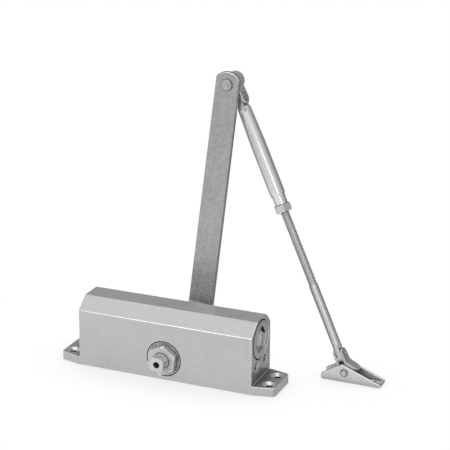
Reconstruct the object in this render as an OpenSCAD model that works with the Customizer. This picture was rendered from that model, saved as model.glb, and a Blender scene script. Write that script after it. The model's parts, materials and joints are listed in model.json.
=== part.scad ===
// Surface-mounted hydraulic door closer with a scissor arm, adjustable forearm and fixing shoe.
// X runs along the body, Y away from the front face along the pinion axis, Z up from the mounting face.
// The origin is the centre of the four mounting screws, on the mounting face.

/* [Body] */
// Length of the cast body without its feet
body_len = 158; // [150:1:180]
// Depth of the body from front face to back face
body_depth = 42; // [41:0.5:50]
// Height of the body above its mounting face
body_h = 60; // [60:0.5:66]
// Height at which the front chamfer starts
front_h = 50; // [46:0.5:54]
// Width of the front chamfer, seen from above
chamfer_w = 13; // [8:0.5:14]
// Width of the back chamfer, seen from above
back_chamfer_w = 8.6; // [6:0.1:10]
// Height at which the back chamfer starts
back_h = 51; // [49:0.5:54]
// Radius of the back chamfer's edges
back_r = 2.5; // [1:0.1:4]

/* [Feet] */
// How far each foot reaches past the body
foot_len = 19.3; // [17:0.1:26]
// Thickness of the feet
foot_t = 7.8; // [5:0.1:10]
// Width of a foot at its outer end
foot_end_w = 33.2; // [30:0.1:40]
// Corner radius of a foot
foot_r = 3.5; // [1:0.1:6]
// Distance between the two pairs of mounting screws
screw_pitch_x = 181.2; // [178:0.1:184]
// Distance between the screws of one foot
screw_pitch_y = 19; // [16:0.5:20]
// Diameter of a mounting screw hole
screw_hole_d = 6.5; // [4:0.1:7]
// Diameter of the countersink of a mounting screw hole
countersink_d = 10.8; // [8:0.1:12]

/* [Cylinder and piston] */
// Height of the cylinder's axis
bore_z = 41.8; // [41:0.1:43]
// Diameter of the cylinder
bore_d = 30; // [28:0.1:31]
// Length of the piston
piston_len = 85.7; // [80:0.1:90]
// Depth of the spring cup in the piston
cup_depth = 8; // [4:0.5:9]
// Length of the end plugs
plug_len = 13; // [12:0.5:16]
// Diameter of an end plug's head
plug_head_d = 34.2; // [33:0.1:34.8]
// Length of an end plug's head
plug_head_len = 4; // [3:0.5:5]
// Width across flats of the end plug's hexagon socket
plug_key = 20.7; // [14:0.1:24]
// Depth of the hexagon socket
plug_key_depth = 4.6; // [4.5:0.1:10]
// Turn of the hexagon socket from corner upwards
plug_key_turn = 21; // [0:1:59]

/* [Closing spring] */
// Diameter of the spring wire
wire_d = 3.8; // [2.5:0.1:4.2]
// Mean diameter of the coils
coil_d = 22; // [18:0.5:22]
// Number of coils
coils = 5.5; // [4:0.5:6]

/* [Pinion] */
// Height of the pinion axis
axis_z = 19; // [18.8:0.1:19.2]
// Module of the rack and pinion
gear_module = 1.6; // [1.5:0.05:1.65]
// Number of pinion teeth
teeth = 14; // [14:1:14]
// Width of the pinion's toothed part
gear_w = 14; // [10:0.5:14]
// Diameter of the pinion's journals
journal_d = 14.4; // [14:0.1:16.4]
// Width of the square at each end of the pinion
square_w = 12; // [10:0.1:12.4]
// Length of each square end
square_len = 5.6; // [5.6:0.1:8]
// Reach of the round journal past the body's faces
journal_out = 8.8; // [7.5:0.1:9.4]
// Diameter of the threaded hole in each end of the pinion
end_hole_d = 5.5; // [4:0.1:6]
// Depth of the threaded hole
end_hole_depth = 14; // [12:0.5:16]
// Width across flats of the bearing cap's hexagon
cap_key = 23.4; // [21.5:0.1:24]
// Reach of the bearing cap past the body's faces
cap_out = 5; // [4:0.1:6]

/* [Speed valves] */
// Diameter of a valve screw
valve_d = 5.9; // [4:0.1:6]
// Height of the valve screws
valve_z = 21.3; // [20.8:0.1:21.6]
// Distance between the two valve screws
valve_pitch = 20; // [18:0.1:22]

/* [Main arm] */
// Distance from the pinion axis to the elbow
arm_len = 223.5; // [200:0.1:232]
// Lean of the arm from the upright at rest
arm_lean = 6.86; // [4:0.01:9]
// Thickness of the arm
arm_t = 5; // [4:0.1:5.6]
// Width of the arm near the body
arm_low_w = 22.4; // [20:0.1:26]
// Width of the arm at the elbow
arm_top_w = 20.6; // [18:0.1:24]
// Radius of the arm's rounded top end
arm_end_r = 13; // [11.5:0.1:16]
// Reach of the arm past the elbow pin
arm_end_out = 10.8; // [9:0.1:12]
// Radius of the arm's hub
hub_r = 14; // [13:0.1:17]
// Distance of the arm's near face from the pinion's middle
arm_y = 48; // [46:0.1:52]

/* [Elbow] */
// Diameter of the elbow pin
elbow_pin_d = 8; // [6:0.1:9]
// Diameter of the knuckle's round boss
knuckle_d = 15.2; // [14:0.1:15.6]
// Length of the knuckle's boss along the elbow pin
knuckle_len = 14.6; // [13.6:0.1:16]
// Distance from the elbow pin to the knuckle's cross pin
knuckle_reach = 15; // [14.8:0.1:17]
// Width of the knuckle's cheeks
cheek_w = 12.6; // [11.8:0.1:13]
// Width over the two cheeks
cheek_span = 10; // [9:0.1:12]
// Thickness of each cheek
cheek_t = 2; // [1.6:0.1:2.6]
// Diameter of the knuckle's cross pin
cross_pin_d = 4.8; // [4:0.1:5.2]

/* [Forearm] */
// Distance from the knuckle's cross pin to the end of the tube's neck
tube_len = 94.6; // [85:0.1:100]
// Outer diameter of the tube
tube_d = 13; // [12:0.1:14]
// Outer diameter of the tube where it starts
tube_start_d = 11.2; // [10.8:0.1:12]
// Diameter of the tube's neck
neck_d = 11; // [10:0.1:12]
// Length of the tube's neck
neck_len = 6.6; // [5:0.1:9]
// Depth of the rod inside the tube
rod_insert = 55; // [45:0.5:55]
// Diameter of the threaded stretch of the rod
thread_d = 7.4; // [7:0.1:7.6]
// Length of the threaded stretch of the rod
thread_len = 119.4; // [90:0.1:130]
// Diameter of the smooth stretch of the rod
rod_d = 7.8; // [7:0.1:8.4]
// Thickness of the rod's flat eye
eye_t = 4.6; // [4:0.1:5]
// Width of the rod's flat eye
eye_w = 9.8; // [9:0.1:10]
// Distance from the eye's hole to the middle of its rounded end
eye_tail = 2.2; // [1:0.1:2.4]
// Width across flats of the lock nut
nut_key = 13; // [12:0.1:14]
// Height of the lock nut
nut_h = 6.5; // [4:0.1:8]

/* [Swivel block and shoe] */
// Distance of the shoe's rivet from the pinion axis, along the body
shoe_x = 140.3; // [120:0.1:150]
// Distance of the shoe's middle from the pinion's middle
shoe_y = 42; // [40:0.1:44]
// Distance from the rod's eye to the shoe's rivet
block_reach = 14.2; // [13.6:0.1:16]
// Width of the swivel block
block_w = 10.4; // [10.2:0.1:12]
// Thickness of the block's ears
ear_t = 1.85; // [1.5:0.05:2.2]
// Diameter of the pin through the rod's eye
eye_pin_d = 3.6; // [3:0.1:4]
// Thickness of the block's toe
toe_t = 2.2; // [1.8:0.1:2.6]
// Wall thickness of the shoe
shoe_t = 2; // [1.5:0.1:2.4]
// Length of the shoe
shoe_len = 52.2; // [48:0.1:60]
// Height of the shoe's sides
shoe_h = 15.8; // [15.2:0.1:16.6]
// Height of the rivet above the surface that the shoe sits on
rivet_z = 8.84; // [8.5:0.01:9]
// Distance from the rivet to the short end of the shoe
rivet_in = 20.6; // [19:0.1:23]
// Diameter of the rivet
rivet_d = 4.4; // [4:0.1:4.8]
// Diameter of the shoe's fixing holes
shoe_hole_d = 5; // [4:0.1:5.5]

/* [Clearances] */
// Radial clearance of turning and sliding fits
run_gap = 0.05; // [0.03:0.01:0.08]
// Radial clearance of screwed and seated fits
seat_gap = 0.1; // [0.1:0.01:0.15]
// Gap between faces that move past each other
face_gap = 0.25; // [0.2:0.01:0.3]

/* [Hidden] */

$fn = 96;
over = 1;                        // how far a cutting shape passes the face that it cuts
sink = 0.1;                      // how far a shape reaches into the one that it grows from
skin = 0.01;                     // how far the countersinks pass the top of the feet
cast_r = 1.2;                    // edge radius of the casting's long edges
hex_ratio = 1 / cos(30);         // corner distance of a hexagon per half width across flats
chamfer_run = 1.5;               // how far a hexagon's chamfer runs inwards per unit of its height

// Body and bores
half_len = body_len / 2;
half_depth = body_depth / 2;
foot_x = half_len + foot_len;
countersink_depth = (countersink_d - screw_hole_d) / 2;
bore_r = bore_d / 2;
plug_thread_out = 1.2;           // how far the plug's thread stands out past the cylinder
plug_thread_r = bore_r + plug_thread_out;
plug_in_x = half_len - plug_len;
plug_end_room = 0.5;
bore_end_x = plug_in_x - plug_end_room;
plug_rim_gap = 0.3;
plug_recess_r = plug_head_d / 2 + plug_rim_gap;
seal_r = 1.15;
seal_in = 2.6;                   // from the plug's inner end to the middle of its seal groove
seal_room = 0.05;                // room round the plug's seal
seal_groove_x = plug_in_x + seal_in;
seal_ring_r = plug_thread_r - seal_r - seal_room;

// Rack and pinion: the rack's addendum is short, so that the pinion needs no undercut
pitch_r = gear_module * teeth / 2;
tooth_pitch = PI * gear_module;
pressure_angle = 20;
base_r = pitch_r * cos(pressure_angle);
tip_r = pitch_r + gear_module;
rack_addendum_ratio = 0.8;
root_gap_ratio = 0.25;
rack_addendum = rack_addendum_ratio * gear_module;
root_gap = root_gap_ratio * gear_module;
root_r = pitch_r - rack_addendum - root_gap;
backlash = 0.24;
rack_z = axis_z + pitch_r;
rack_root_z = rack_z + gear_module + root_gap;
rack_tip_z = rack_z - rack_addendum;
rack_first = -8;
rack_last = 1;
rack_end_ratio = 0.12;           // room past the first and last tooth, in tooth pitches
rack_left = (rack_first - rack_end_ratio) * tooth_pitch;
rack_right = (rack_last + 1 + rack_end_ratio) * tooth_pitch;
flank_steps = 7;

// Piston
piston_r = bore_r - run_gap;
piston_end_gap = 0.3;
piston_left = -plug_in_x + piston_end_gap;
piston_right = piston_left + piston_len;
cup_x = piston_right - cup_depth;
spring_room = 0.4;               // room round the spring in its cup
cup_r = coil_d / 2 + wire_d / 2 + spring_room;
ball_r = 3;
ball_room = 0.6;
ball_bore_r = ball_r + ball_room;
ball_bore_len = 9.7;
passage_r = 1.6;
ball_x = piston_left + ball_bore_len - sqrt(ball_r * ball_r - passage_r * passage_r) - run_gap;
retainer_t = 1.5;
retainer_in = 0.5;

// Pinion shaft, measured from the middle outwards along Y
journal_r = journal_d / 2;
journal_end = half_depth + journal_out;
shaft_end = journal_end + square_len;
square_step = 0.1;               // how far the square's rounded corners stay inside the journal
square_corner_r = journal_r - square_step;
tip_room = 0.6;
cross_bore_r = tip_r + tip_room;

// Bearing cap: it is screwed in until its flange sits in a recess, nearly flush with the face
cap_recess_r = 15.6;
cap_recess_depth = 4;
cap_ring_gap = 0.4;
cap_flange_r = cap_recess_r - cap_ring_gap;
cap_flange_in = 0.3;
cap_flange_t = cap_recess_depth - cap_flange_in;
cap_dish_r = 14.4;
cap_dish_in_r = 11.1;
cap_dish_depth = 2.1;
cap_turn = 6.5;
cap_chamfer = 0.8;
cap_seat = half_depth - cap_recess_depth;
cap_len = 8;
cap_pilot_len = 3;
cap_in = cap_seat - cap_len;
cap_thread_in = cap_in + cap_pilot_len;
cap_pilot_wall = 3.8;
cap_pilot_r = journal_r + cap_pilot_wall;
cap_end = half_depth + cap_out;
lip_gap = 0.2;
cap_lip_r = journal_r + lip_gap;
sleeve_wall = 2;
sleeve_flange = 4;
bearing_r = journal_r + sleeve_wall;
bearing_flange_r = journal_r + sleeve_flange;
side_gap = 0.2;
bearing_in = gear_w / 2 + side_gap;
seal_seat = 1.1;                 // from the sleeve's outer end to the cap's seat
bearing_end = cap_seat - seal_seat;
shaft_seal_r = 1.2;
shaft_seal_gap = 0.15;
shaft_seal_ring_r = journal_r + shaft_seal_r + shaft_seal_gap;
shaft_seal_y = bearing_end + shaft_seal_r + side_gap;
seal_end_gap = 0.1;
seal_room_end = shaft_seal_y + shaft_seal_r + seal_end_gap;

// Speed valves
valve_r = valve_d / 2;
valve_len = 23;
valve_in_x = half_len - valve_len;
valve_tip = 5;
valve_oil_room = 1;
valve_tip_r = 0.8;
valve_recess = 1.2;
valve_mouth_rim = 0.85;
valve_mouth_r = valve_r + valve_mouth_rim;
slot_w = 1;
slot_depth = 1.4;

// Arm: the hub sits on the square, and a double bend brings the bar out to its own plane
elbow_x = arm_len * sin(arm_lean);
elbow_z = axis_z + arm_len * cos(arm_lean);
hub_over = 0.2;                  // how far the hub stands out past the pinion's end
hub_out = shaft_end + hub_over;
hub_pad_r = 12;
bend_start = 12.5;
bend_end = 26;
bend_slope = atan((arm_y + arm_t - hub_out) / (bend_end - bend_start));
bend_shift = arm_t * tan(bend_slope / 2);
bend_r = 3;
arm_washer_t = 1.5;
arm_washer_r = 8.2;
arm_screw_key = 10;
arm_screw_head = 4;
arm_screw_len = 12;
arm_screw_chamfer = 0.5;
arm_washer_room = 0.3;

// Elbow and knuckle, along Y
arm_far = arm_y + arm_t;
pin_head_over = 0.8;
pin_head_r = elbow_pin_d / 2 + pin_head_over;
pin_head_t = 2.1;
knuckle_r = knuckle_d / 2;
elbow_washer_t = 0.8;
knuckle_near = arm_far + face_gap + elbow_washer_t;
knuckle_far = knuckle_near + knuckle_len;
knuckle_y = (knuckle_near + knuckle_far) / 2;
pin_tail_over = 1.6;
pin_tail_r = elbow_pin_d / 2 + pin_tail_over;
pin_tail_t = 1;
pin_tail_in = 0.2;
pin_tail_room = pin_tail_t + pin_tail_in;
pin_chamfer = 0.7;

// Cross pin and the tube's tongue
cheek_in = cheek_span / 2 - cheek_t;
tongue_t = 2 * (cheek_in - face_gap);
tongue_wall = 1.8;
tongue_r = knuckle_reach - knuckle_r - tongue_wall;
tongue_room_r = tongue_r + face_gap;
tongue_room_up = 0.5;
cross_pin_r = cross_pin_d / 2;
cross_head_r = 4.2;
cross_head_t = 0.8;
cross_head_slope = 0.7;

// Forearm, measured from the cross pin along the forearm
tube_gap = 0.8;
tube_start = cheek_w / 2 + tube_gap;
tube_full = 40;
tube_round = 1.4;
neck_start = tube_len - neck_len;
neck_slope_len = 3.4;
tube_end = neck_start - neck_slope_len;
tube_bore_start = 13.5;
tube_bore_room = 0.9;
tube_bore_r = thread_d / 2 + tube_bore_room;
neck_bore_r = thread_d / 2 + seat_gap;
nut_start = tube_len + face_gap;
nut_r = nut_key / 2 * hex_ratio;
nut_chamfer = 0.8;
rod_start = tube_len - rod_insert;
thread_end = rod_start + thread_len;
eye_r = eye_w / 2;

// The chain from elbow to rivet lies in one slanting plane, and the rod is as long as it needs to be
chain_len = norm([shoe_x - elbow_x, elbow_z - rivet_z]);
chain_lean = atan((shoe_x - elbow_x) / (elbow_z - rivet_z));
rod_reach = norm([chain_len - knuckle_reach - block_reach, knuckle_y - shoe_y]);
side_lean = asin((knuckle_y - shoe_y) / rod_reach);
block_play = 0.4;
rod_round_end = rod_reach - block_w / 2 - block_play;
eye_flare = 4;
eye_end = rod_reach + eye_tail;

// Swivel block, measured from the rod's eye, and shoe
ear_gap = 0.15;
ear_in = eye_t / 2 + ear_gap;
ear_out = ear_in + ear_t;
block_r = block_w / 2;
web_gap = 0.7;
web_top = eye_r + eye_tail + web_gap;
block_hub_r = 5.2;
toe_lean = 51;
toe_len = 11.8;
toe_bend_over = 7.2;             // height of the toe's bend over the rivet
toe_bend = [ear_out, toe_bend_over - block_reach];
toe_bend_r = 5;
toe_along = [cos(toe_lean), -sin(toe_lean)];
toe_across = [sin(toe_lean), cos(toe_lean)];
toe_tip = toe_bend + (toe_len - block_r) * toe_along;
rivet_r = rivet_d / 2;
rivet_head_over = 1.2;
rivet_head_r = rivet_r + rivet_head_over;
rivet_head_t = 1;
rivet_head_slope = 0.5;
shoe_play = 0.1;
shoe_w = block_w + 2 * face_gap + 2 * shoe_t + shoe_play;
shoe_corners = [2, 2.6, 2, 1.2, 1.2];
shoe_short_h = 5.5;
shoe_long_h = 2.5;
shoe_peak_x = -2.6;
shoe_hole_x = [-13.5, 22.5];

// Shapes used more than once
function unit(v) = v / norm(v);
function turn(a) = a > 180 ? a - 360 : a < -180 ? a + 360 : a;
function arc_points(c, r, from, sweep, steps) =
    [for (i = [0:steps]) c + r * [cos(from + sweep * i / steps), sin(from + sweep * i / steps)]];
function corner(before, p, after, r, steps = 6) =
    let (
        u = unit(before - p), v = unit(after - p), half = acos(u * v) / 2,
        c = p + unit(u + v) * r / sin(half), s = p + u * r / tan(half), e = p + v * r / tan(half),
        from = atan2(s.y - c.y, s.x - c.x), to = atan2(e.y - c.y, e.x - c.x)
    ) arc_points(c, r, from, turn(to - from), steps);
function rounded(pts, radii) =
    let (n = len(pts))
    [for (i = [0:n - 1]) each radii[i] > 0
        ? corner(pts[(i + n - 1) % n], pts[i], pts[(i + 1) % n], radii[i]) : [pts[i]]];

// A solid standing on an XZ outline, from near to far along Y
module slab_y(near, far) {
    translate([0, far, 0]) rotate([90, 0, 0]) linear_extrude(far - near) children();
}

// A round bar along Y, from near to far, round the given point
module bar_y(r, near, far, x = 0, z = 0) {
    translate([x, near, z]) rotate([-90, 0, 0]) cylinder(h = far - near, r = r);
}

// A round bar along X, from low to high, round the given point
module bar_x(r, low, high, y = 0, z = 0) {
    translate([low, y, z]) rotate([0, 90, 0]) cylinder(h = high - low, r = r);
}

module ring_x(ring_r, r, x, z) {
    translate([x, 0, z]) rotate([0, 90, 0]) rotate_extrude() translate([ring_r, 0]) circle(r, $fn = 24);
}

module ring_y(ring_r, r, y, z) {
    translate([0, y, z]) rotate([90, 0, 0]) rotate_extrude() translate([ring_r, 0]) circle(r, $fn = 24);
}

// Places: the arm's own plane, the slanting chain, the leaning forearm and the swivel block
module on_arm() translate([0, 0, axis_z]) rotate([0, arm_lean, 0]) children();
module on_chain() translate([elbow_x, 0, elbow_z]) rotate([0, -chain_lean, 0]) children();
module on_forearm()
    on_chain() translate([0, knuckle_y, -knuckle_reach]) rotate([-side_lean, 0, 0]) children();
module on_block()
    on_chain() translate([0, shoe_y, block_reach - chain_len]) children();
module on_shoe() translate([shoe_x, shoe_y, rivet_z]) children();

// The rounded square of the pinion's ends, widened by the gap
module square_outline(gap = 0) {
    intersection() {
        square(square_w + 2 * gap, center = true);
        circle(square_corner_r + gap);
    }
}

// Body
module body_outline() {
    h = half_depth;
    polygon(rounded(
        [[-h, 0], [-h, front_h], [chamfer_w - h, body_h], [h - back_chamfer_w, body_h], [h, back_h], [h, 0]],
        [0, cast_r, cast_r, back_r, back_r, 0]
    ));
}

module foot() {
    e = foot_end_w / 2;
    i = half_depth;
    linear_extrude(foot_t) polygon(rounded(
        [[half_len - over, -i], [half_len, -i], [foot_x, -e], [foot_x, e], [half_len, i], [half_len - over, i]],
        [0, 0, foot_r, foot_r, 0, 0]
    ));
}

module foot_holes() {
    for (sx = [-1, 1], sy = [-1, 1]) translate([sx * screw_pitch_x / 2, sy * screw_pitch_y / 2, 0]) {
        translate([0, 0, -over]) cylinder(h = foot_t + 2 * over, d = screw_hole_d);
        translate([0, 0, foot_t - countersink_depth])
            cylinder(h = countersink_depth + skin, d1 = screw_hole_d, d2 = countersink_d + 2 * skin);
    }
}

module body_casting() color("silver") difference() {
    union() {
        rotate([90, 0, 90]) linear_extrude(body_len, center = true) body_outline();
        foot();
        mirror([1, 0, 0]) foot();
    }
    foot_holes();
    bar_x(bore_r, -half_len, half_len, 0, bore_z);
    for (s = [0, 1]) mirror([s, 0, 0]) {
        bar_x(plug_thread_r + seat_gap, bore_end_x, half_len, 0, bore_z);
        bar_x(plug_recess_r, half_len - plug_head_len, half_len + over, 0, bore_z);
    }
    bar_y(cross_bore_r, -half_depth, half_depth, 0, axis_z);
    for (s = [0, 1]) mirror([0, s, 0]) bar_y(cap_recess_r, cap_seat, half_depth + over, 0, axis_z);
    for (sy = [-1, 1]) {
        bar_x(valve_r + run_gap, valve_in_x - valve_tip, half_len, sy * valve_pitch / 2, valve_z);
        bar_x(valve_mouth_r, half_len - valve_recess, half_len + over, sy * valve_pitch / 2, valve_z);
    }
}

// End plug: a broad head, a threaded part with a seal groove, and a hexagon socket
module end_plug() difference() {
    union() {
        bar_x(plug_thread_r, plug_in_x, half_len, 0, bore_z);
        bar_x(plug_head_d / 2, half_len - plug_head_len, half_len, 0, bore_z);
    }
    translate([half_len - plug_key_depth, 0, bore_z]) rotate([0, 90, 0]) rotate([0, 0, -plug_key_turn])
        cylinder(h = plug_key_depth + over, r = plug_key / 2 * hex_ratio, $fn = 6);
    difference() {
        half = seal_r + seal_room;
        bar_x(plug_thread_r + over, seal_groove_x - half, seal_groove_x + half, 0, bore_z);
        bar_x(seal_ring_r - half, seal_groove_x - 2 * half, seal_groove_x + 2 * half, 0, bore_z);
    }
}
module end_plug_right() color("lightgray") end_plug();
module end_plug_left() color("lightgray") mirror([1, 0, 0]) end_plug();
module plug_seal_right() color("dimgray") ring_x(seal_ring_r, seal_r, seal_groove_x, bore_z);
module plug_seal_left() color("dimgray") mirror([1, 0, 0]) plug_seal_right();

// Piston: a long cylinder whose underside is cut to a rack
module rack_tooth() {
    half = tooth_pitch / 4 - backlash / 4;
    top = rack_root_z + 2 * sink;
    slope = tan(pressure_angle);
    polygon([
        [-half - (top - rack_z) * slope, top], [-half + (rack_z - rack_tip_z) * slope, rack_tip_z],
        [half - (rack_z - rack_tip_z) * slope, rack_tip_z], [half + (top - rack_z) * slope, top]
    ]);
}

module piston() color("gray") difference() {
    union() {
        difference() {
            bar_x(piston_r, piston_left, piston_right, 0, bore_z);
            translate([rack_left, -bore_r, bore_z - bore_d])
                cube([rack_right - rack_left, bore_d, rack_root_z - bore_z + bore_d]);
        }
        intersection() {
            bar_x(piston_r, rack_left, rack_right, 0, bore_z);
            slab_y(-gear_w / 2, gear_w / 2) for (i = [rack_first:rack_last])
                translate([(i + 0.5) * tooth_pitch, 0]) rack_tooth();
        }
    }
    bar_x(cup_r, cup_x, piston_right + over, 0, bore_z);
    bar_x(passage_r, piston_left, cup_x + over, 0, bore_z);
    bar_x(ball_bore_r, piston_left - over, piston_left + ball_bore_len, 0, bore_z);
}

module check_ball() color("lightsteelblue") translate([ball_x, 0, bore_z]) sphere(ball_r, $fn = 48);

module check_retainer() color("goldenrod") difference() {
    bar_x(ball_bore_r - run_gap, piston_left + retainer_in, piston_left + retainer_in + retainer_t, 0, bore_z);
    bar_x(passage_r, piston_left, piston_left + retainer_in + retainer_t + over, 0, bore_z);
}

// Closing spring: a ring of points swept along a helix between the cup and the right plug
module closing_spring() color("slategray") {
    sides = 8;
    turn_steps = 22;
    steps = round(coils * turn_steps);
    r = wire_d / 2;
    low = cup_x + r;
    high = plug_in_x - r;
    points = [for (i = [0:steps], j = [0:sides - 1])
        let (a = 360 * coils * i / steps, b = 360 * j / sides, k = coil_d / 2 + r * cos(b))
        [low + (high - low) * i / steps + r * sin(b), k * cos(a), bore_z + k * sin(a)]];
    walls = [for (i = [0:steps - 1], j = [0:sides - 1])
        let (n = (j + 1) % sides)
        [i * sides + j, i * sides + n, (i + 1) * sides + n, (i + 1) * sides + j]];
    ends = [[for (j = [sides - 1:-1:0]) j], [for (j = [0:sides - 1]) steps * sides + j]];
    polyhedron(points, concat(walls, ends));
}

// Pinion: involute teeth between two journals, with a square and a threaded hole at each end
function flank(t, half) =
    let (r = base_r * sqrt(1 + pow(t * PI / 180, 2)), a = half - (t - atan(t * PI / 180)))
    [r * cos(a), r * sin(a)];

module pinion_tooth() {
    roll_pitch = tan(pressure_angle) * 180 / PI;
    gap_angle = backlash / 4 / pitch_r * 180 / PI;
    half = 90 / teeth + roll_pitch - pressure_angle - gap_angle;
    roll_tip = sqrt(pow(tip_r / base_r, 2) - 1) * 180 / PI;
    right = [for (i = [0:flank_steps]) flank(roll_tip * i / flank_steps, half)];
    foot_in = (root_r - over) * [cos(half), sin(half)];
    side = concat([foot_in], right);
    polygon(concat(side, [for (i = [len(side) - 1:-1:0]) [side[i].x, -side[i].y]]));
}

module pinion() color("darkgray") translate([0, 0, axis_z]) difference() {
    union() {
        slab_y(-gear_w / 2, gear_w / 2) {
            circle(root_r);
            for (i = [0:teeth - 1]) rotate(90 + 360 * i / teeth) pinion_tooth();
        }
        bar_y(journal_r, -journal_end, journal_end);
        rotate([0, arm_lean, 0]) slab_y(-shaft_end, shaft_end) square_outline();
    }
    for (s = [0, 1]) mirror([0, s, 0]) bar_y(end_hole_d / 2, shaft_end - end_hole_depth, shaft_end + over);
}

// Flanged bearing sleeve, shaft seal and hexagon cap of the back side; the front side mirrors them
module bearing() difference() {
    union() {
        bar_y(bearing_r, bearing_in, bearing_end, 0, axis_z);
        bar_y(bearing_flange_r, bearing_in, cap_in - seal_end_gap, 0, axis_z);
    }
    bar_y(journal_r + run_gap, bearing_in - over, bearing_end + over, 0, axis_z);
}
module bearing_back() color("goldenrod") bearing();
module bearing_front() color("goldenrod") mirror([0, 1, 0]) bearing();

module shaft_seal_back() color("dimgray") ring_y(shaft_seal_ring_r, shaft_seal_r, shaft_seal_y, axis_z);
module shaft_seal_front() color("dimgray") mirror([0, 1, 0]) shaft_seal_back();

module hex_y(key, near, far, chamfer, turned = 0) {
    corner_r = key / 2 * hex_ratio;
    top = far - near;
    translate([0, near, 0]) rotate([-90, 0, 0]) intersection() {
        rotate([0, 0, 30 + turned]) cylinder(h = top + over, r = corner_r, $fn = 6);
        rotate_extrude() polygon([
            [0, -over], [corner_r + chamfer_run * over, -over], [corner_r + chamfer_run * over, top - chamfer - over],
            [corner_r - chamfer_run * chamfer, top], [0, top]
        ]);
    }
}

module bearing_cap() difference() {
    translate([0, 0, axis_z]) {
        bar_y(cap_pilot_r, cap_in, cap_seat);
        bar_y(cross_bore_r - seat_gap, cap_thread_in, cap_seat);
        translate([0, cap_seat, 0]) rotate([-90, 0, 0]) rotate_extrude() polygon([
            [0, 0], [cap_flange_r, 0], [cap_flange_r, cap_flange_t], [cap_dish_r, cap_flange_t],
            [cap_dish_in_r, cap_flange_t - cap_dish_depth], [0, cap_flange_t - cap_dish_depth]
        ]);
        hex_y(cap_key, cap_seat + cap_flange_t / 3, cap_end, cap_chamfer, cap_turn);
    }
    bar_y(bearing_r + run_gap, cap_in - over, bearing_end + seal_end_gap, 0, axis_z);
    bar_y(shaft_seal_ring_r + shaft_seal_r + seal_room, bearing_end, seal_room_end, 0, axis_z);
    bar_y(cap_lip_r, cap_in, cap_end + over, 0, axis_z);
}
module bearing_cap_back() color("silver") bearing_cap();
module bearing_cap_front() color("silver") mirror([0, 1, 0]) bearing_cap();

// Speed valve: a slotted screw with a tapered tip
module speed_valve(side) translate([0, side * valve_pitch / 2, valve_z]) difference() {
    union() {
        bar_x(valve_r, valve_in_x, half_len - valve_recess);
        translate([valve_in_x, 0, 0]) rotate([0, -90, 0])
            cylinder(h = valve_tip - valve_oil_room, r1 = valve_r, r2 = valve_tip_r);
    }
    translate([half_len - valve_recess - slot_depth, -valve_d, -slot_w / 2])
        cube([slot_depth + over, 2 * valve_d, slot_w]);
}
module closing_speed_valve() color("white") speed_valve(-1);
module latching_speed_valve() color("white") speed_valve(1);

// Main arm: the flat outline cut out of a bar that is bent twice near the hub
module arm_outline() {
    top = arm_len + arm_end_out;
    lower = arm_low_w / 2;
    upper = arm_top_w / 2;
    circle(hub_r);
    intersection() {
        polygon([[-lower, 0], [lower, 0], [upper, top], [-upper, top]]);
        union() {
            translate([-arm_low_w, 0]) square([2 * arm_low_w, top - arm_end_r]);
            translate([0, top - arm_end_r]) circle(arm_end_r);
        }
    }
}

module arm_profile() {
    top = arm_len + arm_end_out + over;
    low = -hub_r - over;
    polygon(rounded([
        [low, hub_out - arm_t], [bend_start, hub_out - arm_t], [bend_end, arm_y], [top, arm_y],
        [top, arm_far], [bend_end - bend_shift, arm_far], [bend_start - bend_shift, hub_out], [low, hub_out]
    ], [0, bend_r + arm_t, bend_r, 0, 0, bend_r + arm_t, bend_r, 0]));
}

module main_arm() color("darkgray") on_arm() difference() {
    union() {
        intersection() {
            slab_y(hub_out - arm_t - over, arm_far + over) arm_outline();
            rotate([0, -90, 0]) linear_extrude(3 * hub_r, center = true) arm_profile();
        }
        bar_y(hub_pad_r, journal_end + side_gap, hub_out - arm_t / 2);
    }
    slab_y(journal_end, hub_out + over) square_outline(run_gap);
    bar_y(elbow_pin_d / 2 + run_gap, arm_y - over, arm_far + over, 0, arm_len);
}

module arm_washer() color("lightgray") on_arm() difference() {
    bar_y(arm_washer_r, hub_out, hub_out + arm_washer_t);
    bar_y(end_hole_d / 2 + arm_washer_room, hub_out - over, hub_out + arm_washer_t + over);
}

module arm_screw() color("lightgray") on_arm() {
    head = hub_out + arm_washer_t;
    hex_y(arm_screw_key, head, head + arm_screw_head, arm_screw_chamfer);
    bar_y(end_hole_d / 2 - seat_gap, shaft_end - arm_screw_len, head + sink);
}

// Elbow: a headed pin through the arm and the knuckle, riveted over in the knuckle's far end
module elbow_pin() color("lightgray") on_arm() translate([0, 0, arm_len]) {
    translate([0, arm_y, 0]) rotate([90, 0, 0]) rotate_extrude() polygon([
        [0, 0], [pin_head_r, 0], [pin_head_r, pin_head_t - pin_chamfer],
        [pin_head_r - pin_chamfer, pin_head_t], [0, pin_head_t]
    ]);
    bar_y(elbow_pin_d / 2, arm_y - sink, knuckle_far - pin_tail_in);
    bar_y(pin_tail_r, knuckle_far - pin_tail_t, knuckle_far - pin_tail_in);
}

module elbow_washer() color("gray") on_chain() difference() {
    bar_y(knuckle_r, knuckle_near - elbow_washer_t, knuckle_near);
    bar_y(elbow_pin_d / 2 + run_gap, knuckle_near - elbow_washer_t - over, knuckle_near + over);
}

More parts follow.
